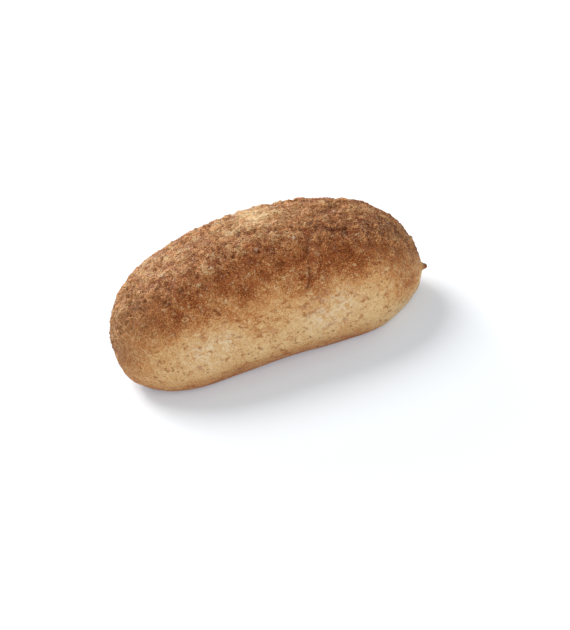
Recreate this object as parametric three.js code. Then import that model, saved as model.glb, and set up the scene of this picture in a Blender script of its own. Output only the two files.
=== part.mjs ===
// A bread roll: one long soft wholemeal roll, baked in one piece.
//
// Units are millimetres and +Z is up. The long axis lies along X. The origin is the middle of
// the flat spot that the roll stands on.
//
// The roll is a row of D-shaped slices along X. Three outlines set the size of each slice: the
// plan gives its half width, the crest gives how high its dome rises over the widest line, and
// the underside gives how far its lower half would hang below that line. The lower half is
// drawn in at mid length, so the roll stands on two fuller feet. The tray then stops the
// underside: whatever would hang below it is pressed flat, with a soft edge all round.

import * as THREE from 'three';
import { mergeVertices } from 'three/addons/utils/BufferGeometryUtils.js';

// Driving dimensions
const LENGTH = 136;
const WIDTH = 68;
const HEIGHT = 55.5;
const NOSE_HEIGHT = 16; // the two tips and the widest line lie this high over the tray
const UNDERSIDE_DEPTH = 24.5; // the middle slice would hang this far below the widest line
const SOFT_EDGE = 4; // height of the rounding where the flank turns into the flat spot

// How much fuller than an ellipse each outline stays on its way to the tips
const PLAN_FULLNESS = { shoulder: 1.45, end: -1.0 };
const CREST_FULLNESS = { shoulder: -0.15, end: 0.55 };
const UNDERSIDE_FULLNESS = { shoulder: 0.5, end: 0.6 };

// How square a slice is: 2 is an ellipse, and more is closer to a box
const DOME_SQUARENESS = 2.5;
const FLANK_SQUARENESS = 2.2;

// The waist of the lower half: the share it is drawn in, more in front (-Y) than behind (+Y), and
// how far it reaches along the roll as a share of half the length
const FRONT_WAIST = 0.45;
const BACK_WAIST = 0.2;
const WAIST_REACH = 0.42;

// Fineness of the mesh
const SLICES = 48;
const POINTS_ROUND_A_SLICE = 56;

// Colour and finish of the baked crust
const CRUST = { color: 0xb5824f, roughness: 0.85, metalness: 0 };

// An ellipse made fuller: 1 in the middle of the roll, and 0 at a tip, where station is 1 or -1.
function outline(station, fullness) {
  const s2 = station * station;
  const ellipse = Math.max(0, 1 - s2);
  return Math.sqrt(ellipse * (1 + fullness.shoulder * s2 + fullness.end * s2 * s2));
}

// Distance from the middle of a slice to its rim at this angle, where 1 is the rim of a circle.
function rim(angle, squareness) {
  const across = Math.abs(Math.cos(angle)) ** squareness;
  const upright = Math.abs(Math.sin(angle)) ** squareness;
  return (across + upright) ** (-1 / squareness);
}

// The share of its width that the lower half keeps: least underneath, at mid length.
function waist(station, angle) {
  const nearMiddle = Math.exp(-((station / WAIST_REACH) ** 2));
  const depth = Math.cos(angle) < 0 ? FRONT_WAIST : BACK_WAIST;
  return 1 - depth * nearMiddle * Math.sin(angle) ** 2;
}

// The tray at height 0: dough below it is pressed flat, and a soft edge joins it to the flank.
function settleOnTray(height) {
  if (height <= -SOFT_EDGE) return 0;
  if (height >= SOFT_EDGE) return height;
  return (height + SOFT_EDGE) ** 2 / (4 * SOFT_EDGE);
}

// Moves a point of the unit sphere to its place on the roll.
function placeOnRoll(point) {
  const station = THREE.MathUtils.clamp(point.x, -1, 1);
  const angle = Math.atan2(point.z, point.y);
  const onDome = point.z >= 0;
  const reach = rim(angle, onDome ? DOME_SQUARENESS : FLANK_SQUARENESS);
  const halfWidth = (WIDTH / 2) * outline(station, PLAN_FULLNESS);
  const domeHeight = (HEIGHT - NOSE_HEIGHT) * outline(station, CREST_FULLNESS);
  const underDepth = UNDERSIDE_DEPTH * outline(station, UNDERSIDE_FULLNESS);
  const kept = onDome ? 1 : waist(station, angle);
  const rise = (onDome ? domeHeight : underDepth) * Math.sin(angle) * reach;
  point.set(
    (LENGTH / 2) * station,
    halfWidth * kept * Math.cos(angle) * reach,
    settleOnTray(NOSE_HEIGHT + rise)
  );
}

// The closed skin of the roll: a sphere with its poles at the tips, moved into shape.
function rollGeometry() {
  const sphere = new THREE.SphereGeometry(1, POINTS_ROUND_A_SLICE, SLICES);
  sphere.rotateZ(-Math.PI / 2);
  sphere.deleteAttribute('normal');
  sphere.deleteAttribute('uv');
  const skin = mergeVertices(sphere);
  const places = skin.getAttribute('position');
  const point = new THREE.Vector3();
  for (let i = 0; i < places.count; i += 1) {
    point.fromBufferAttribute(places, i);
    placeOnRoll(point);
    places.setXYZ(i, point.x, point.y, point.z);
  }
  skin.computeVertexNormals();
  return skin;
}

const breadRoll = new THREE.Mesh(rollGeometry(), new THREE.MeshStandardMaterial(CRUST));
breadRoll.name = 'bread_roll';

const part = new THREE.Group();
part.add(breadRoll);

export default part;
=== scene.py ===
# %% [markdown]
# # A soft wholemeal roll
#
# The object is one bread roll, baked in a row beside others. Its long sides stayed pale and smooth where
# they faced the next roll, and its top took the full heat of the oven and came out brown, rough and
# crumbly. It is one piece of bread, so it is made as one mesh. The work goes into three things: the
# shape, the relief of the crust, and how far each place on the crust is baked.
#
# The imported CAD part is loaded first. It fixes the size and the place of the roll.

# %% The frame that everything is measured from
import math

import bpy
import numpy as np
from mathutils import Matrix, Vector, noise


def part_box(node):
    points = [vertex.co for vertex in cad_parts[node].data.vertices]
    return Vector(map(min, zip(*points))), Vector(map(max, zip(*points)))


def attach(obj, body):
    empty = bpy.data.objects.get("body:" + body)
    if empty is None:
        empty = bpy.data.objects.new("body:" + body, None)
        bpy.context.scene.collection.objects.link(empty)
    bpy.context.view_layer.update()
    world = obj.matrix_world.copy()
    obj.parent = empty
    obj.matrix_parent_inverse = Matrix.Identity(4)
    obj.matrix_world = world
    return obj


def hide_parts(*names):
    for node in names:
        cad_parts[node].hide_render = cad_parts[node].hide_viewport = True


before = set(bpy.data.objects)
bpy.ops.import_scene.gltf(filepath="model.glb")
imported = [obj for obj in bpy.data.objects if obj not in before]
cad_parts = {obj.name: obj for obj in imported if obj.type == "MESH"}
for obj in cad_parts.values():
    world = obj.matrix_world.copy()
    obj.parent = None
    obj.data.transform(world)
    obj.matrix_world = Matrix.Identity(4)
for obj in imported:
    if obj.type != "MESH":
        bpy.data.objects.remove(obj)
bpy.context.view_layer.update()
roll_low, roll_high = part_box("bread_roll")

# %% [markdown]
# Lengths below are in millimetres, because a baker thinks of a crust in millimetres, and they are turned
# into metres when the mesh is made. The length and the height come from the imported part. The other
# numbers are the proportions that the part itself was drawn with: how high the widest line runs, how full
# the shoulders are, and how much the row of rolls squeezed the foot of each long side.

# %% Driving sizes
MM = 0.001
LENGTH = (roll_high.x - roll_low.x) / MM
WIDTH = 68.0
HEIGHT = (roll_high.z - roll_low.z) / MM
NOSE_HEIGHT = 16.0
UNDERSIDE_DEPTH = 24.5
SOFT_EDGE = 4.0
PLAN_FULLNESS = (1.45, -1.0)
CREST_FULLNESS = (-0.15, 0.55)
UNDERSIDE_FULLNESS = (0.5, 0.6)
DOME_SQUARENESS = 2.5
FLANK_SQUARENESS = 2.2
FRONT_WAIST = 0.45
BACK_WAIST = 0.2
WAIST_REACH = 0.42
print("roll", round(LENGTH, 1), "x", WIDTH, "x", round(HEIGHT, 1), "mm")


# %% [markdown]
# A place on the roll is given by two numbers, as a place on a globe is. The station runs from -1 at the
# left tip to 1 at the right tip. The turn is the angle round the roll: 0 is the far side, 90 the crest,
# 180 the near side and 270 the underside. One function turns such a pair into a point on the crust, so
# every later step can say where it works in plain terms.

# %% From station and turn to a point on the crust
def outline(station, fullness):
    """How wide the roll is at a station, as a share of the widest."""
    shoulder, end = fullness
    square = station * station
    return np.sqrt(np.maximum(0, 1 - square) * (1 + shoulder * square + end * square * square))


def rim(turn, squareness):
    """How far a squarish section reaches at an angle, against a circle."""
    spread = np.abs(np.cos(turn)) ** squareness + np.abs(np.sin(turn)) ** squareness
    return spread ** (-1 / squareness)


def settle(height):
    """Dough below the tray line is pressed flat, with a soft bend into the side."""
    bend = (height + SOFT_EDGE) ** 2 / (4 * SOFT_EDGE)
    return np.where(height <= -SOFT_EDGE, 0, np.where(height >= SOFT_EDGE, height, bend))


def place(station, turn):
    """Points in millimetres for arrays of stations and turns, the turns in radians."""
    above = np.sin(turn) >= 0
    reach = np.where(above, rim(turn, DOME_SQUARENESS), rim(turn, FLANK_SQUARENESS))
    rise = np.where(
        above,
        (HEIGHT - NOSE_HEIGHT) * outline(station, CREST_FULLNESS),
        UNDERSIDE_DEPTH * outline(station, UNDERSIDE_FULLNESS),
    )
    waist = np.where(np.cos(turn) < 0, FRONT_WAIST, BACK_WAIST)
    waist = waist * np.exp(-((station / WAIST_REACH) ** 2)) * np.sin(turn) ** 2
    kept = np.where(above, 1, 1 - waist)
    x = LENGTH / 2 * station
    y = WIDTH / 2 * outline(station, PLAN_FULLNESS) * kept * np.cos(turn) * reach
    z = settle(NOSE_HEIGHT + rise * np.sin(turn) * reach)
    return np.stack([x, y, z], axis=-1)


# %% [markdown]
# The mesh is a sleeve of quads round the roll with a square patch of quads over each tip. A plain globe
# grid would crowd its faces together at the tips, and the fine crust would look different there. The
# patches keep the faces about half a millimetre wide everywhere, which is fine enough for real pits and
# crumbs, and few enough to keep every face when the part is saved.

# %% The grid
ROUND_A_SIDE = 90
ROUND = 4 * ROUND_A_SIDE
ALONG = 228
SLEEVE_END = 0.85
CROWDING = 0.1

share = np.linspace(-1, 1, ALONG + 1)
sleeve_station = SLEEVE_END * ((1 + CROWDING) * share - CROWDING * share**3)
sleeve_turn = -math.pi / 2 + np.arange(ROUND) * 2 * math.pi / ROUND
station_grid, turn_grid = np.meshgrid(sleeve_station, sleeve_turn, indexing="ij")
stations = [station_grid.ravel()]
turns = [turn_grid.ravel()]


def ring_index(row, turn):
    """The sleeve's vertex in this row at this turn."""
    step = np.rint((turn + math.pi / 2) / (2 * math.pi / ROUND)).astype(int) % ROUND
    return row * ROUND + step


def tip_patch(side, first_free):
    """Stations, turns and vertex numbers of the square patch over one tip."""
    across = np.linspace(-1, 1, ROUND_A_SIDE + 1)
    p, q = np.meshgrid(across, across, indexing="ij")
    radius = np.maximum(np.abs(p), np.abs(q))
    wide = np.abs(p) >= np.abs(q)
    safe_p = np.where(p == 0, 1, p)
    safe_q = np.where(q == 0, 1, q)
    turn = np.where(
        wide,
        (q / safe_p) * math.pi / 4 + np.where(p < 0, math.pi, 0),
        math.pi / 2 - (p / safe_q) * math.pi / 4 + np.where(q < 0, math.pi, 0),
    )
    station = side * np.cos(radius * math.acos(SLEEVE_END))
    inner = radius < 1 - 1e-9
    index = ring_index(0 if side < 0 else ALONG, turn)
    index[inner] = first_free + np.arange(inner.sum())
    return station[inner], turn[inner], index


faces = []
row, step = np.meshgrid(np.arange(ALONG), np.arange(ROUND), indexing="ij")
next_step = (step + 1) % ROUND
sleeve_faces = np.stack(
    [row * ROUND + step, row * ROUND + next_step, (row + 1) * ROUND + next_step, (row + 1) * ROUND + step],
    axis=-1,
).reshape(-1, 4)
faces.append(sleeve_faces)
free = (ALONG + 1) * ROUND
for side in (-1, 1):
    tip_stations, tip_turns, index = tip_patch(side, free)
    stations.append(tip_stations)
    turns.append(tip_turns)
    free += len(tip_stations)
    corners = [index[:-1, :-1], index[1:, :-1], index[1:, 1:], index[:-1, 1:]]
    if side < 0:
        corners.reverse()
    faces.append(np.stack(corners, axis=-1).reshape(-1, 4))
station = np.concatenate(stations)
turn = np.concatenate(turns)
faces = np.concatenate(faces)
smooth_points = place(station, turn)
print("vertices", len(station), "faces", len(faces))


# %% [markdown]
# Crumbs and pits stand out square to the crust, so the direction that the crust faces is needed at every
# vertex. Blender works this out for a finished mesh, but here it is needed before there is one. Each face
# gives its own direction to its four corners, and a corner takes the average.

# %% Which way the crust faces
def facing(points):
    """Unit normals of the mesh at its vertices."""
    a, b, c, d = (points[faces[:, i]] for i in range(4))
    face_normal = np.cross(c - a, d - b)
    total = np.zeros_like(points)
    for i in range(4):
        np.add.at(total, faces[:, i], face_normal)
    return total / np.maximum(np.linalg.norm(total, axis=1, keepdims=True), 1e-9)


normals = facing(smooth_points)


# %% [markdown]
# Most of the crust's character is irregular, so it comes from noise. Blender could add it later with
# texture modifiers, but here the colour has to know about it too, so it is worked out as plain numbers.
# These helpers give smooth noise, ridged noise and cell patterns at a size in millimetres. Each takes a
# seed, so the roll comes out the same each time.

# %% Noise helpers
SEED_STEP = np.array([17.3, 5.7, 11.9])
SCRAMBLE = Vector((12.99, 78.23, 37.72))
SCRAMBLE_GAIN = 43758.55


def shifted(points, size, seed):
    """The points in units of the pattern's size, moved to the seed's own place in the noise."""
    offset = SEED_STEP * (seed + 1)
    return points / np.broadcast_to(np.asarray(size, float), (3,)) + offset


def smooth_noise(points, size, seed):
    """Soft lumps of one size, about -0.7 to 0.7."""
    return np.array([noise.noise(p) for p in shifted(points, size, seed)])


def ridged_noise(points, size, seed, layers=3, keep=0.6):
    """Thin crests between broad hollows, with smaller ones on them, about -1 to 1."""
    total = np.zeros(len(points))
    weight = 1.0
    for layer in range(layers):
        layer_size = np.asarray(size, float) / 2**layer
        total += weight * (0.5 - 2.4 * np.abs(smooth_noise(points, layer_size, seed + 31 * layer)))
        weight *= keep
    return total


def cells(points, size, seed):
    """Distance to the nearest and second nearest cell centre, and a random number for each cell."""
    nearest = np.zeros(len(points))
    second = np.zeros(len(points))
    chance = np.zeros(len(points))
    for i, p in enumerate(shifted(points, size, seed)):
        distances, centres = noise.voronoi(p)
        nearest[i] = distances[0]
        second[i] = distances[1]
        chance[i] = (math.sin(centres[0].dot(SCRAMBLE)) * SCRAMBLE_GAIN) % 1.0
    return nearest, second, chance


def ease(value, low, high):
    """0 below low, 1 above high, and a smooth rise between."""
    t = np.clip((value - low) / (high - low), 0, 1)
    return t * t * (3 - 2 * t)


# %% [markdown]
# How far a place is baked decides its colour and its roughness, so it is worked out before either. What
# counts most is the angle from the crest. The crest itself is a little lighter than the shoulders, partly
# as a lighter bake and partly as a painted highlight where the lamps graze over it, and the flanks are
# pale because they touched the next roll. The far shoulder browned lower down than the near one. The tips
# had no neighbour and are brown nearly all the way down.

# %% The angle from the crest
FAR_SHOULDER_SHIFT = 20
RAGGED_BY = 7
FINELY_RAGGED_BY = 4
TIP_BEGINS = 0.62
lean = np.degrees(np.arctan2(np.cos(turn), np.sin(turn)))
from_crest = np.where(lean > 0, np.maximum(lean - FAR_SHOULDER_SHIFT, 0), -lean)
ragged = RAGGED_BY * smooth_noise(smooth_points, size=13, seed=3)
ragged += FINELY_RAGGED_BY * smooth_noise(smooth_points, size=5, seed=4)
tip_share = ease(np.abs(station), TIP_BEGINS, 1.0)
print("the border between brown and pale wanders by", round(float(np.ptp(ragged))), "degrees")

# %% [markdown]
# The heat runs from 0, dough that barely coloured, to 1, nearly burnt. It is read off two short curves,
# one for the middle of the roll and one for the tips. The middle of the crest stayed golden and its right
# part went dark. The border between brown and pale is ragged, since the skin of the dough blisters
# unevenly. The foot of the sides browned on the hot tray, but less towards the left end and hardly at
# all at the right one. A painted picture could hold all this, but curves are quick to change.

# %% How far each place is baked
# The lower heat at the crest is partly a painted highlight where the lamps graze it.
MIDDLE_ANGLES = (0, 14, 28, 39, 48, 57, 68, 82, 100)
MIDDLE_HEAT = (0.44, 0.58, 0.74, 0.77, 0.70, 0.50, 0.30, 0.20, 0.16)
TIP_ANGLES = (0, 30, 60, 100)
TIP_HEAT = (0.54, 0.66, 0.60, 0.45)
UNDERSIDE_HEAT = 0.40
CREST_ENDS = (15, 40)
RIGHT_OF_CREST_DARKER = 0.28
MIDDLE_OF_CREST_LIGHTER = 0.36
LEFT_OF_MIDDLE_DARKER = 0.17
BROAD_UNEVENNESS = 0.09
FINE_UNEVENNESS = 0.04
FOOT_LIGHTER_RIGHT = 1.0
FOOT_LIGHTER_LEFT = 0.4
RIGHT_FOOT_PALER = 0.25

heat = np.interp(from_crest + ragged * ease(from_crest, 10, 45), MIDDLE_ANGLES, MIDDLE_HEAT)
heat += (np.interp(from_crest + ragged, TIP_ANGLES, TIP_HEAT) - heat) * tip_share
along_crest = RIGHT_OF_CREST_DARKER * ease(station, 0.25, 0.6)
along_crest -= MIDDLE_OF_CREST_LIGHTER * np.exp(-(((station - 0.08) / 0.22) ** 2))
along_crest += LEFT_OF_MIDDLE_DARKER * np.exp(-(((station + 0.3) / 0.13) ** 2))
on_crest = 1 - ease(from_crest, *CREST_ENDS)
heat += along_crest * on_crest
uneven = BROAD_UNEVENNESS * smooth_noise(smooth_points, size=16, seed=5)
uneven += FINE_UNEVENNESS * smooth_noise(smooth_points, size=6, seed=6)
heat += uneven
turned_under = ease(-normals[:, 2], 0.15, 0.9)
right_end = ease(station, 0.5, 0.85)
lighter_ends = FOOT_LIGHTER_RIGHT * right_end + FOOT_LIGHTER_LEFT * ease(-station, 0.6, 0.95)
heat += UNDERSIDE_HEAT * turned_under * (1 - lighter_ends)
heat -= RIGHT_FOOT_PALER * right_end * ease(from_crest, 95, 125)
print("baked brown:", round(float((heat > 0.5).mean() * 100)), "percent of the crust")

# %% [markdown]
# Four shares, each 0 to 1, say what kind of skin a place has. Rough skin is any that baked brown, with
# the whole crest. Crusty skin is the flaky part of it round the crest. Dusty skin is an ashy film of
# flour at the two ends and along the crest, and it is also a painted sheen where the lamps graze those
# edges. Floury skin is two whitish patches on the pale side, where flour from the tray stuck.


# %% What kind of skin a place has
def away_from(path):
    """Distance in millimetres from each vertex to a path of stations and turns in degrees."""
    corners = place(*np.array([(s, math.radians(t)) for s, t in path]).T)
    nearest = np.full(len(smooth_points), np.inf)
    for start, end in zip(corners[:-1], corners[1:]):
        run = end - start
        share = np.clip((smooth_points - start) @ run / (run @ run), 0, 1)
        nearest = np.minimum(nearest, np.linalg.norm(smooth_points - start - share[:, None] * run, axis=1))
    return nearest


def close_to(path, reach):
    """1 on a path and soft round it, with its reach in millimetres."""
    return np.exp(-((away_from(path) / reach) ** 2))


FLOURY_PATCHES = ([(-0.46, 172), (-0.32, 170)], [(0.28, 172), (0.45, 168)])
PATCH_REACH = 6.5
CREST_ROUGHER = 0.4
CRUSTY_ENDS = (22, 48)
CRUSTY_TIPS = 0.4
DUST_AND_SHEEN_RIGHT_END = 0.6
DUST_AND_SHEEN_CREST = 0.4
rough = ease(heat + CREST_ROUGHER * on_crest, 0.3, 0.6) * (1 - turned_under)
crusty = rough * (1 - (1 - CRUSTY_TIPS * tip_share) * ease(from_crest + ragged, *CRUSTY_ENDS))
dust_and_sheen_ends = np.maximum(ease(-station, 0.45, 0.9), DUST_AND_SHEEN_RIGHT_END * ease(station, 0.7, 0.95))
dust_and_sheen = rough * np.maximum(dust_and_sheen_ends, DUST_AND_SHEEN_CREST * (1 - ease(from_crest, 0, 25)))
floury = np.maximum(*(close_to(patch, PATCH_REACH) for patch in FLOURY_PATCHES))
print("crusty:", round(float((crusty > 0.5).mean() * 100)), "percent of the crust")

# %% [markdown]
# The skin of the top blistered in the oven, and many blisters burst. Each left a hollow with a broken
# raised rim round it. There are far too many to shape one by one, so cells of noise place them: the middle
# of a cell is the hollow, and a ring at a distance that differs from cell to cell is the rim. The points
# are pushed about first, so no rim is a true circle. Thin torn edges run along the borders of more cells.

# %% Burst blisters
warp = np.stack([smooth_noise(smooth_points, 4, 20 + axis) for axis in range(3)], axis=1)
fine_warp = np.stack([smooth_noise(smooth_points, 1.8, 40 + axis) for axis in range(3)], axis=1)
WARP_SHARE = 0.22
FINE_WARP = 0.5
TORN_WARP = 2.2
TORN_FINE_WARP = 0.6


def blisters(size, seed, least, most, rim_width):
    """A broken rim and a hollow in each cell, with all sizes in millimetres."""
    wandered = smooth_points + WARP_SHARE * size * warp + FINE_WARP * fine_warp
    distance, _, chance = cells(wandered, size, seed)
    distance *= size
    radius = least + (most - least) * chance
    rim = np.exp(-(((distance - radius) / rim_width) ** 2))
    rim *= ease(smooth_noise(smooth_points, 0.6 * size, seed + 1), -0.12, 0.15)
    hollow = 1 - ease(distance, 0.35 * radius, radius)
    return rim, hollow


WIDE_HOLLOW_DEPTH = 0.8
SMALL_RIM_HEIGHT = 0.8
wide_rim, wide_hollow = blisters(size=7.5, seed=50, least=1.2, most=3.0, rim_width=0.45)
small_rim, small_hollow = blisters(size=3.6, seed=60, least=0.3, most=1.4, rim_width=0.4)
torn_points = smooth_points + TORN_WARP * warp + TORN_FINE_WARP * fine_warp
near_line, next_line, _ = cells(torn_points, size=6.5, seed=17)
torn_edges = 1 - ease(next_line - near_line, 0.0, 0.12)
torn_edges *= ease(smooth_noise(smooth_points, size=6, seed=23), 0.0, 0.2)
hollows = np.maximum(WIDE_HOLLOW_DEPTH * wide_hollow, small_hollow)
rims = np.maximum(np.maximum(wide_rim, SMALL_RIM_HEIGHT * small_rim), torn_edges)
print("rims over", round(float((rims * crusty > 0.5).mean() * 100)), "percent of the crust")

# %% [markdown]
# A few marks are this roll's own: a crease that folds over the near shoulder with a lip beside it, two
# short splits at the foot of the brown top, and a tuft of dried dough that sticks out of the right tip.
# They could be cut with a sculpting brush, but a path can be moved later by changing a number. So each is
# a short path on the crust, and the distance to the path gives its shape.

# %% Crease, splits and tuft
crease = close_to([(0.385, 119), (0.35, 127), (0.33, 133), (0.315, 140)], reach=0.8)
lip = close_to([(0.46, 114), (0.40, 124), (0.36, 134)], reach=1.1)
long_split = close_to([(0.315, 140), (0.305, 146), (0.27, 152)], reach=0.55)
short_split = close_to([(-0.305, 147), (-0.29, 149), (-0.28, 151)], reach=0.45)
splits = np.maximum(long_split, short_split)
tuft = close_to([(0.985, 211), (0.99, 212)], reach=0.8)
print("marks touch", int((np.maximum(np.maximum(crease, splits), tuft) > 0.5).sum()), "vertices")

# %% [markdown]
# The roll isn't as even as the part it was drawn from. It is pushed in at six places and swollen at one,
# some of them low on the near flank, where it pressed on its neighbour. Each is a station, a turn, a
# reach and a depth in millimetres, and the swelling has a negative depth.

# %% Dents
DENTS = (
    (-0.33, 206, 8, 1.0),
    (0.43, 216, 6, 0.9),
    (0.95, 106, 9, 1.1),
    (0.83, 85, 8, 0.6),
    (-0.93, 100, 16, 0.8),
    (0.80, 222, 8, 0.9),
    (-0.95, 215, 8, -0.6),
)
dented = np.zeros(len(station))
for at_station, at_turn, reach, depth in DENTS:
    dented += depth * close_to([(at_station, at_turn), (at_station + 0.001, at_turn)], reach)
print("dents up to", round(float(dented.max()), 2), "mm deep")

# %% [markdown]
# Now the layers are added up, from the broad lumps of the dough to single crumbs. They could be a bump in
# the material, but a bump has no outline and casts no shadow, so everything wider than a millimetre is
# real. Where the roll rests on the table the layers fade out, and the underside stays flat.

# %% The relief of the crust
BROAD_LUMPS = 0.55
SMALL_LUMPS = 0.30
GRAIN = 0.20
CRUMBS = 0.20
PALE_GRAIN = 0.05
KNOBS_LEFT = 0.6
KNOBS_MORE_RIGHT = 0.5
KNOB_WARP = 1.2
CALMER_BEHIND = 0.5
BLISTERS_END = (35, 62)
RIM_HEIGHT = 0.7
HOLLOW_DEPTH = 0.9
LIP_HEIGHT = 0.9
CREASE_DEPTH = 0.6
SPLIT_DEPTH = 0.9
SUNK = 0.15
BOBBLES = 0.5
TUFT_LENGTH = 2.4
FADE_ABOVE_TABLE = 3.0

lumps = BROAD_LUMPS * smooth_noise(smooth_points, size=26, seed=7)
lumps += SMALL_LUMPS * smooth_noise(smooth_points, size=10, seed=8)
knobs = smooth_noise(smooth_points + KNOB_WARP * warp, size=5.5, seed=9)
grain = ridged_noise(smooth_points, size=2.6, seed=11, layers=2, keep=0.8)
crumbs = smooth_noise(smooth_points, size=1.0, seed=12)
relief = rough * (GRAIN * grain + CRUMBS * crumbs)
calmer_behind = 1 - CALMER_BEHIND * ease(lean, 15, 50)
blistered = rough * (1 - ease(from_crest, *BLISTERS_END)) * calmer_behind
relief += rough * knobs * calmer_behind * (KNOBS_LEFT + KNOBS_MORE_RIGHT * ease(station, -0.3, 0.3))
relief += blistered * (RIM_HEIGHT * rims - HOLLOW_DEPTH * hollows)
relief += (1 - rough) * PALE_GRAIN * grain
relief += LIP_HEIGHT * lip - CREASE_DEPTH * crease - SPLIT_DEPTH * splits
relief -= relief.mean() + SUNK
bobbles = BOBBLES * tip_share * (1 - rough) * smooth_noise(smooth_points, size=4.5, seed=70)
height = lumps + relief + bobbles - dented + TUFT_LENGTH * tuft
resting = ease(smooth_points[:, 2], 0.0, FADE_ABOVE_TABLE)
points = smooth_points + normals * (height * resting)[:, None]
points[:, 2] = np.maximum(points[:, 2], 0)
print("relief from", round(float(relief.min()), 2), "to", round(float(relief.max()), 2), "mm")

# %% [markdown]
# The points become a mesh in one call, since they and the faces are already lists. Smooth shading hides
# the small flat faces, so no finer mesh is needed.

# %% The mesh
mesh = bpy.data.meshes.new("bread_roll_crust")
mesh.from_pydata((points * MM).tolist(), [], faces.tolist())
mesh.polygons.foreach_set("use_smooth", np.ones(len(faces), bool))
roll = bpy.data.objects.new("bread_roll_crust", mesh)
bpy.context.scene.collection.objects.link(roll)
print("triangles", sum(len(p.vertices) - 2 for p in mesh.polygons))

# %% [markdown]
# When the roll is saved for other programs its finish is painted onto a flat sheet, and the mesh has to
# say where each face lies on the sheet. Blender can unwrap a mesh by itself, but it would cut this one
# into many odd islands. The grid is flat already: the sleeve is one strip, and each tip is a square above
# it, so no face is laid over another.

# %% Where each face lies on the paint sheet
SHEET_MARGIN = 0.01
STRIP_CELL = (1 - 2 * SHEET_MARGIN) / ROUND
TIP_SIDE = 0.34
TIP_LOW = 0.645
TIP_LEFTS = (0.02, 0.45)
CORNER_STEPS = np.array([(0, 0), (1, 0), (1, 1), (0, 1)])

strip_corners = np.stack([step, row], axis=-1).reshape(-1, 1, 2) + CORNER_STEPS
sheets = [SHEET_MARGIN + STRIP_CELL * strip_corners]
i, j = np.meshgrid(np.arange(ROUND_A_SIDE), np.arange(ROUND_A_SIDE), indexing="ij")
tip_corners = (np.stack([i, j], axis=-1).reshape(-1, 1, 2) + CORNER_STEPS) / ROUND_A_SIDE
mirrored = tip_corners[:, ::-1] * (-1, 1) + (1, 0)
for corners, left in zip((mirrored, tip_corners), TIP_LEFTS):
    sheets.append(np.array([left, TIP_LOW]) + TIP_SIDE * corners)
paint_sheet = mesh.uv_layers.new(name="OFBake")
paint_sheet.data.foreach_set("uv", np.concatenate(sheets).astype(np.float32).ravel())
print("paint sheet reaches", np.concatenate(sheets).max(axis=(0, 1)).round(3), "of 1 by 1")

# %% [markdown]
# The colour has to follow the relief, so that a hollow is painted dark as shade and a rim is painted light
# as a highlight. The mesh therefore keeps a few numbers at each vertex, and the material reads them by
# name. The name for how far a place is baked isn't heat, because the renderer keeps that word for smoke
# and fire and would read nothing.


# %% What the material needs to know
def remember(name, values):
    """Keeps one number for each vertex, for the crust's material to read."""
    attribute = mesh.attributes.new(name, "FLOAT", "POINT")
    attribute.data.foreach_set("value", np.asarray(values, np.float32))


# The blister hollows, the crease and the splits are painted dark as shade in their recesses; the tuft is
# dark crust of its own.
SPLIT_SHADE = 1.2
TUFT_DARKNESS = 2.0
CREASE_SHADE = 0.3
DARKEST = 1.3
shaded_splits_and_dark_tuft = np.minimum(np.maximum(SPLIT_SHADE * splits, TUFT_DARKNESS * tuft), DARKEST)
shaded_hollows_and_crease = np.maximum(hollows * crusty, CREASE_SHADE * crease * rough)
remember("baked", heat)
remember("rough", rough)
remember("crusty", crusty)
remember("dust_and_sheen", dust_and_sheen)
remember("floury", floury)
remember("knobs", knobs * rough)
# The rims are kept for a painted highlight on the raised crust.
remember("rims", rims * crusty)
remember("hollows", np.maximum(shaded_hollows_and_crease, shaded_splits_and_dark_tuft))
print("the mesh keeps", len(mesh.attributes), "attributes")

# %% [markdown]
# The crust's finish is one material made of nodes. An image could be wrapped round the roll instead, but
# noise has no seams and stays sharp at any size. These helpers make one node each and hand back its
# output, so the finish below reads as a list of layers.

# %% Node helpers
crust = bpy.data.materials.new("crust")
crust.use_nodes = True
tree = crust.node_tree
tree.nodes.clear()


def fill(socket, source):
    """Links a socket to another node's output, or sets it to a plain value."""
    if isinstance(source, bpy.types.NodeSocket):
        tree.links.new(source, socket)
    else:
        socket.default_value = source


def add(kind, sources=None, **settings):
    """A node with its settings, and what goes into its sockets."""
    made = tree.nodes.new(kind)
    for name, value in settings.items():
        setattr(made, name, value)
    for socket, source in (sources or {}).items():
        fill(made.inputs[socket], source)
    return made


def sums(operation, a, b=0.0, c=0.0):
    """One step of arithmetic."""
    return add("ShaderNodeMath", {0: a, 1: b, 2: c}, operation=operation).outputs[0]


def plus(base, value, factor):
    """The base with a share of a value added."""
    return sums("MULTIPLY_ADD", value, factor, base)


def band(value, low, high):
    """0 at low, 1 at high and smooth between; low above high turns it round."""
    sources = {"Value": value, "From Min": low, "From Max": high}
    return add("ShaderNodeMapRange", sources, interpolation_type="SMOOTHSTEP").outputs[0]


def kept(name):
    """A number that the mesh keeps."""
    return add("ShaderNodeAttribute", attribute_name=name).outputs["Fac"]


def paper(red, green, blue):
    """A colour as printed on paper, 0 to 255, in the light units that a shader adds up."""
    shares = (red / 255, green / 255, blue / 255)
    return tuple(c / 12.92 if c <= 0.04045 else ((c + 0.055) / 1.055) ** 2.4 for c in shares) + (1,)


def paint(under, mask, strength, over):
    """Lays a colour over what is under it, as far as the mask and the strength say."""
    mixed = add("ShaderNodeMix", data_type="RGBA")
    fill(mixed.inputs[0], sums("MULTIPLY", mask, strength))
    fill(mixed.inputs[6], under)
    fill(mixed.inputs[7], paper(*over))
    return mixed.outputs[2]
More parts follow.
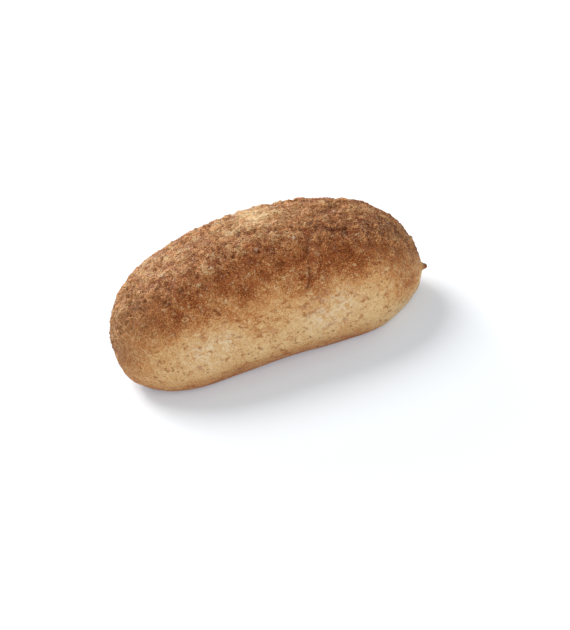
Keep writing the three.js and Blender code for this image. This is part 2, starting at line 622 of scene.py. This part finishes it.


# %% [markdown]
# Three patterns make every layer: soft noise, flecks cut out of noise at a threshold, and round spots.
# All are measured in millimetres on the roll. The points of the flecks and the spots are pushed about by
# finer noise first, and for the bran they are also stretched along the roll, the way the dough was rolled.

# %% Patterns
where = add("ShaderNodeTexCoord").outputs["Object"]
PER_METRE = 1000
WANDER_SIZE = 2.0
WANDER_REACH = (0.0016, 0.0016, 0.0016)
ROLLED_LONGER = (0.6, 1.0, 1.0)
wander = add("ShaderNodeTexNoise", {"Vector": where, "Scale": PER_METRE / WANDER_SIZE}).outputs["Color"]
pushed = add("ShaderNodeVectorMath", {0: wander, 1: WANDER_REACH}, operation="MULTIPLY").outputs[0]
crooked = add("ShaderNodeVectorMath", {0: where, 1: pushed}, operation="ADD").outputs[0]
rolled_out = add("ShaderNodeVectorMath", {0: crooked, 1: ROLLED_LONGER}, operation="MULTIPLY").outputs[0]


def grainy(size, detail=2.0, roughness=0.6, vector=None):
    """Noise with lumps of a size in millimetres, 0 to 1 and mostly near a half."""
    sources = {"Vector": vector or where, "Scale": PER_METRE / size}
    sources.update(Detail=detail, Roughness=roughness)
    return add("ShaderNodeTexNoise", sources).outputs[0]


def flecks(size, low, high, vector=None):
    """Ragged flecks: the part of a fine noise that lies between two thresholds and beyond."""
    return band(grainy(size, 3, 0.75, vector or crooked), low, high)


def spots(size, radius, softness, ragged, rarity):
    """Spots, at most one in each cell of a size in millimetres, the radius as a share of it."""
    made = add("ShaderNodeTexVoronoi", {"Vector": crooked, "Scale": PER_METRE / size})
    chance = add("ShaderNodeSeparateColor", {0: made.outputs["Color"]}).outputs[0]
    reach = sums("MULTIPLY", sums("SUBTRACT", chance, rarity), radius / (1 - rarity))
    inside = sums("SUBTRACT", reach, made.outputs["Distance"])
    wobble = sums("SUBTRACT", grainy(size * 0.3, 2, 0.7), 0.5)
    return band(plus(inside, wobble, ragged), 0.0, softness)


# %% [markdown]
# The ground colour is read off one scale, from pale dough to dark toast, by how far the place is baked.
# Four sizes of noise move the reading up and down, so the crust is never one flat colour, and knobs that
# stick out are painted a little lighter than the dips between them, as painted light on the raised crust
# and painted shade in the dips. Mixing two browns would be simpler, but real toast also turns from yellow
# to red as it darkens, and a scale of seven colours can follow that.

# %% The ground colour
baked_here = kept("baked")
rough_here = kept("rough")
crusty_here = kept("crusty")
mottle = sums("SUBTRACT", grainy(size=3.2), 0.5)
crumb = sums("SUBTRACT", grainy(size=0.9, roughness=0.8), 0.5)
speck = sums("SUBTRACT", grainy(size=0.5, detail=1, roughness=0.8), 0.5)
patches = sums("SUBTRACT", grainy(size=6.0), 0.5)
toast = plus(baked_here, mottle, plus(0.35, crusty_here, 0.7))
toast = plus(toast, patches, sums("MULTIPLY", crusty_here, 1.3))
# Knobs are painted lighter than the dips: painted light and shade over the relief.
toast = plus(toast, kept("knobs"), plus(-0.18, crusty_here, -0.3))
toast = plus(toast, crumb, plus(plus(0.6, rough_here, 0.1), crusty_here, 0.8))
toast = plus(toast, speck, plus(plus(0.75, rough_here, 0.9), crusty_here, 1.2))

TOAST_SCALE = (
    (0.0, (218, 187, 140)),
    (0.18, (206, 168, 118)),
    (0.38, (193, 141, 88)),
    (0.55, (177, 113, 66)),
    (0.70, (160, 93, 50)),
    (0.86, (133, 71, 34)),
    (1.0, (94, 46, 18)),
)
scale = add("ShaderNodeValToRGB", {0: toast})
stops = scale.color_ramp.elements
for position, tone in TOAST_SCALE[1:-1]:
    stops.new(position).color = paper(*tone)
stops[0].color = paper(*TOAST_SCALE[0][1])
stops[-1].color = paper(*TOAST_SCALE[-1][1])
colour = scale.outputs[0]
print("the toast scale has", len(stops), "colours")

# %% [markdown]
# Wholemeal flour shows best on the pale side. Bran lies in the skin as small reddish brown flecks, with
# wider and fainter husks between them, some whitish flour, and a few dark dots. Real flakes of bran on
# the mesh would hardly show, since they are baked into the skin, so they are only colour.

# %% Bran, husks and flour
BRAN = (148, 84, 42)
HUSK = (160, 88, 46)
FLOUR = (222, 196, 150)
DARK_DOT = (116, 66, 34)
bran = flecks(size=2.6, low=0.575, high=0.61, vector=rolled_out)
husks = flecks(size=5.0, low=0.60, high=0.65, vector=rolled_out)
flour = flecks(size=3.0, low=0.58, high=0.66)
dark_dots = spots(size=2.0, radius=0.36, softness=0.12, ragged=0.6, rarity=0.3)
colour = paint(colour, bran, strength=0.6, over=BRAN)
colour = paint(colour, husks, strength=0.35, over=HUSK)
colour = paint(colour, flour, strength=0.45, over=FLOUR)
colour = paint(colour, dark_dots, strength=0.6, over=DARK_DOT)
print("nodes so far:", len(tree.nodes))

# %% [markdown]
# Next come the places that differ from their surroundings: golden patches on the flaky top, reddish
# patches where the skin browned faster, the whitish patches of tray flour, painted shade in the hollows of
# the burst blisters and in the splits and the crease, the dark crust of the tuft, and a painted highlight
# on the rims of the blisters.

# %% Patches, painted shade in the hollows and painted highlights on the rims
BLUSH = (138, 68, 38)
TRAY_FLOUR = (226, 208, 176)
HOLLOW_SHADE_AND_TUFT = (112, 54, 30)
RIM_HIGHLIGHT = (246, 172, 114)
GOLDEN = (230, 157, 98)
golden = sums("MULTIPLY", flecks(size=4.0, low=0.54, high=0.62), crusty_here)
blush_here = plus(sums("MULTIPLY", rough_here, 0.42), crusty_here, 0.3)
blush = sums("MULTIPLY", flecks(size=4.5, low=0.52, high=0.62), blush_here)
tray_flour = sums("MULTIPLY", kept("floury"), flecks(size=2.0, low=0.42, high=0.60))
# The rims are painted light, a painted highlight, broken up by flecks.
broken_rim_highlights = sums("MULTIPLY", kept("rims"), flecks(size=1.2, low=0.42, high=0.54))
colour = paint(colour, golden, strength=0.4, over=GOLDEN)
colour = paint(colour, blush, strength=1.0, over=BLUSH)
colour = paint(colour, tray_flour, strength=0.65, over=TRAY_FLOUR)
# Painted shade in the hollows, the splits and the crease, and the tuft's own dark crust.
colour = paint(colour, kept("hollows"), strength=0.7, over=HOLLOW_SHADE_AND_TUFT)
colour = paint(colour, broken_rim_highlights, strength=0.7, over=RIM_HIGHLIGHT)
print("nodes so far:", len(tree.nodes))

# %% [markdown]
# The flaky skin round the crest is torn. A tear shows as a thin light line, a painted highlight where the
# edge of the skin lifts, with a dark line of painted shade beside it where the edge shades the crumb
# below. Both are contour lines of the same noise at two levels, so they always run side by side. Pores
# painted dark as shade, bright crumbs with painted glints, flour film that is also a painted sheen, and
# whitish flakes with painted glints finish it.

# %% Torn skin, pores and crumbs, with painted highlights and painted shade
TORN_SHADE = (110, 56, 26)
TORN_EDGE_HIGHLIGHT = (250, 186, 130)
PORE_SHADE = (100, 46, 20)
BRIGHT_CRUMB_AND_GLINT = (248, 174, 116)
FLOUR_FILM_AND_SHEEN = (190, 146, 94)
FLAKE_AND_GLINT = (228, 206, 184)
LINE_WIDTH = 0.03
skin = grainy(size=2.6, vector=crooked)
torn = sums("MULTIPLY", band(grainy(size=1.9, detail=1), 0.44, 0.58), crusty_here)


def contour(level, width):
    """A thin line along one level of the skin's noise."""
    return band(sums("ABSOLUTE", sums("SUBTRACT", skin, level)), width, 0.0)


torn_shade = sums("MULTIPLY", contour(0.465, LINE_WIDTH), torn)
torn_edge_highlight = sums("MULTIPLY", contour(0.52, LINE_WIDTH), torn)
pore_shade = band(grainy(size=1.8, detail=3, roughness=0.8, vector=crooked), 0.41, 0.37)
bright_crumbs_and_glints = band(grainy(size=1.5, detail=3, roughness=0.8, vector=rolled_out), 0.61, 0.66)
flakes_and_glints = spots(size=4.0, radius=0.24, softness=0.1, ragged=0.9, rarity=0.6)
# The dark line is painted shade and the light line is a painted highlight.
colour = paint(colour, torn_shade, strength=0.5, over=TORN_SHADE)
colour = paint(colour, torn_edge_highlight, strength=0.65, over=TORN_EDGE_HIGHLIGHT)
# Pores are painted dark as shade in the pits.
colour = paint(colour, sums("MULTIPLY", pore_shade, crusty_here), strength=0.5, over=PORE_SHADE)
# Light crumbs, which are also painted glints.
colour = paint(colour, sums("MULTIPLY", bright_crumbs_and_glints, crusty_here), strength=0.65, over=BRIGHT_CRUMB_AND_GLINT)
# A film of flour on the ends and the crest, which is also a painted sheen where the lamps graze them.
colour = paint(colour, kept("dust_and_sheen"), strength=0.25, over=FLOUR_FILM_AND_SHEEN)
# Whitish flakes of skin, which are also painted glints.
colour = paint(colour, sums("MULTIPLY", flakes_and_glints, crusty_here), strength=0.5, over=FLAKE_AND_GLINT)
print("nodes so far:", len(tree.nodes))

# %% [markdown]
# Detail finer than the mesh is a bump: the grain of the crumbs, a millimetre and less, and a small step
# along each tear. Bread is dull, so the shader has a high roughness, hardly any shine and only a trace of
# sheen for the dust on it. More of either would lay a grey veil over the brown in such a white room.

# %% The finish
BUMP_HEIGHT = 0.0012
TEAR_STEP = 0.5
GRAIN_SHARE = 0.9
DULLNESS = 0.55
STARCH_IOR = 1.45
SHINE = 0.06
DUST_SHEEN = 0.05
DUST_SPREAD = 0.35
step_up = sums("MULTIPLY", band(skin, 0.45, 0.54), TEAR_STEP)
fine = plus(step_up, grainy(size=1.1, detail=3, roughness=0.75), GRAIN_SHARE)
fine = sums("MULTIPLY", fine, plus(plus(0.3, rough_here, 0.4), crusty_here, 0.8))
bump = add("ShaderNodeBump", {"Strength": 1.0, "Distance": BUMP_HEIGHT, "Height": fine}).outputs[0]
shader = add("ShaderNodeBsdfPrincipled", {"Base Color": colour, "Roughness": DULLNESS, "Normal": bump})
shader.inputs["IOR"].default_value = STARCH_IOR
shader.inputs["Specular IOR Level"].default_value = SHINE
shader.inputs["Sheen Weight"].default_value = DUST_SHEEN
shader.inputs["Sheen Roughness"].default_value = DUST_SPREAD
tree.links.new(shader.outputs[0], add("ShaderNodeOutputMaterial").inputs[0])
mesh.materials.append(crust)
print("the crust's finish has", len(tree.nodes), "nodes")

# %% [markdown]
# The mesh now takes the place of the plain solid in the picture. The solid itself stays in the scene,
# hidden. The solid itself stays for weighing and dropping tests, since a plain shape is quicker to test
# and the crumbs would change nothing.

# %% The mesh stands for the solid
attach(roll, "root")
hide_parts("bread_roll")

# %% [markdown]
# The studio is a round white table under a plain sky. The sky is brighter in a low ring, like the white
# walls of a studio, so a low camera sees hardly any grey behind the table. Real walls could do this too,
# but they would have to stand clear of the lamps and of every camera.

# %% The sky
SKY_STRENGTH = 0.36
WALL_STRENGTH = 0.95
WALL_FADES_FROM = 0.09
WALL_FADES_TO = 0.16
scene = bpy.context.scene
scene.view_settings.view_transform = "Standard"
world = bpy.data.worlds.new("studio")
scene.world = world
world.use_nodes = True
sky = world.node_tree
above = sky.nodes.new("ShaderNodeSeparateXYZ")
fade = sky.nodes.new("ShaderNodeMapRange")
sky.links.new(sky.nodes.new("ShaderNodeTexCoord").outputs["Generated"], above.inputs[0])
sky.links.new(above.outputs["Z"], fade.inputs["Value"])
fade.inputs["From Min"].default_value = WALL_FADES_FROM
fade.inputs["From Max"].default_value = WALL_FADES_TO
fade.inputs["To Min"].default_value = WALL_STRENGTH
fade.inputs["To Max"].default_value = SKY_STRENGTH
sky.links.new(fade.outputs[0], sky.nodes["Background"].inputs["Strength"])
sky.nodes["Background"].inputs["Color"].default_value = (1, 1, 1, 1)
print("sky from", WALL_STRENGTH, "at the walls to", SKY_STRENGTH, "above")

# %% [markdown]
# The table is one flat round face, wide enough that its edge is far off in every view. It gives off a
# little bluish light of its own, which keeps the shadow pale and cool, as paper does under a large window.
# A stronger sky would do that too, but it would also flatten the crumbs.

# %% The table
TABLE_RADIUS = 1.8
TABLE_EDGES = 96
TABLE_WHITE = (0.63, 0.63, 0.625, 1)
GLOW_COLOUR = (0.74, 0.86, 1, 1)
GLOW = 0.26
TABLE_DULLNESS = 0.9
table_mesh = bpy.data.meshes.new("table")
angles = [i * 2 * math.pi / TABLE_EDGES for i in range(TABLE_EDGES)]
rim_points = [(TABLE_RADIUS * math.cos(a), TABLE_RADIUS * math.sin(a), 0) for a in angles]
table_mesh.from_pydata(rim_points, [], [range(TABLE_EDGES)])
table = bpy.data.objects.new("table", table_mesh)
scene.collection.objects.link(table)
white_paper = bpy.data.materials.new("white_paper")
white_paper.use_nodes = True
paper_shader = white_paper.node_tree.nodes["Principled BSDF"].inputs
paper_shader["Base Color"].default_value = TABLE_WHITE
paper_shader["Emission Color"].default_value = GLOW_COLOUR
paper_shader["Emission Strength"].default_value = GLOW
paper_shader["Roughness"].default_value = TABLE_DULLNESS
paper_shader["Specular IOR Level"].default_value = 0.0
table_mesh.materials.append(white_paper)
print("table", 2 * TABLE_RADIUS, "m across")

# %% [markdown]
# Three round lamps light the roll. A sun or a point lamp would cut a hard shadow, and a wide lamp gives
# a soft one. The key stands behind and to the left, which throws the shadow forwards to the right and
# rakes over the crumbs of the crest. A low skimming lamp behind strengthens that. A wide fill in front
# keeps the pale side bright.


# %% Lamps
def soft_lamp(name, toward, distance, size, power):
    """A round lamp that stands away from the roll in a direction and faces it."""
    data = bpy.data.lights.new(name, "AREA")
    data.shape = "DISK"
    data.size = size
    data.energy = power
    lamp = bpy.data.objects.new(name, data)
    scene.collection.objects.link(lamp)
    direction = Vector(toward).normalized()
    lamp.location = direction * distance
    lamp.rotation_mode = "QUATERNION"
    lamp.rotation_quaternion = direction.to_track_quat("Z", "Y")
    print(name, "at", tuple(round(value, 2) for value in lamp.location))


soft_lamp("key", toward=(-0.42, 0.78, 1.02), distance=2.0, size=1.1, power=39)
soft_lamp("fill", toward=(0.22, -0.8, 0.57), distance=2.2, size=1.6, power=22)
soft_lamp("skim", toward=(-0.35, 0.9, 0.3), distance=2.0, size=0.8, power=28)

# %% [markdown]
# The camera looks down at the near side from thirty degrees up, through a long lens from about a metre
# away. A short lens close by would make the near side bulge. The camera is turned a little about its own
# line of sight, so the roll rises to the right.

# %% The camera
LENS = 135
SENSOR = 36
ELEVATION = math.radians(30)
TILT = math.radians(17.95)
DISTANCE = 0.9948
SHIFT_RIGHT = 0.0113
SHIFT_DOWN = 0.0147
camera_data = bpy.data.cameras.new("camera")
camera_data.lens = LENS
camera_data.sensor_width = SENSOR
camera = bpy.data.objects.new("camera", camera_data)
scene.collection.objects.link(camera)
back = Vector((0, -math.cos(ELEVATION), math.sin(ELEVATION)))
level = Vector((1, 0, 0))
upright = Vector((0, math.sin(ELEVATION), math.cos(ELEVATION)))
picture_right = level * math.cos(TILT) - upright * math.sin(TILT)
picture_up = level * math.sin(TILT) + upright * math.cos(TILT)
middle = Vector((0, 0, HEIGHT / 2 * MM))
camera.location = middle + back * DISTANCE + picture_right * SHIFT_RIGHT - picture_up * SHIFT_DOWN
camera.rotation_mode = "QUATERNION"
camera.rotation_quaternion = Matrix((picture_right, picture_up, back)).transposed().to_quaternion()
scene.camera = camera
print("camera at", tuple(round(value, 3) for value in camera.location))
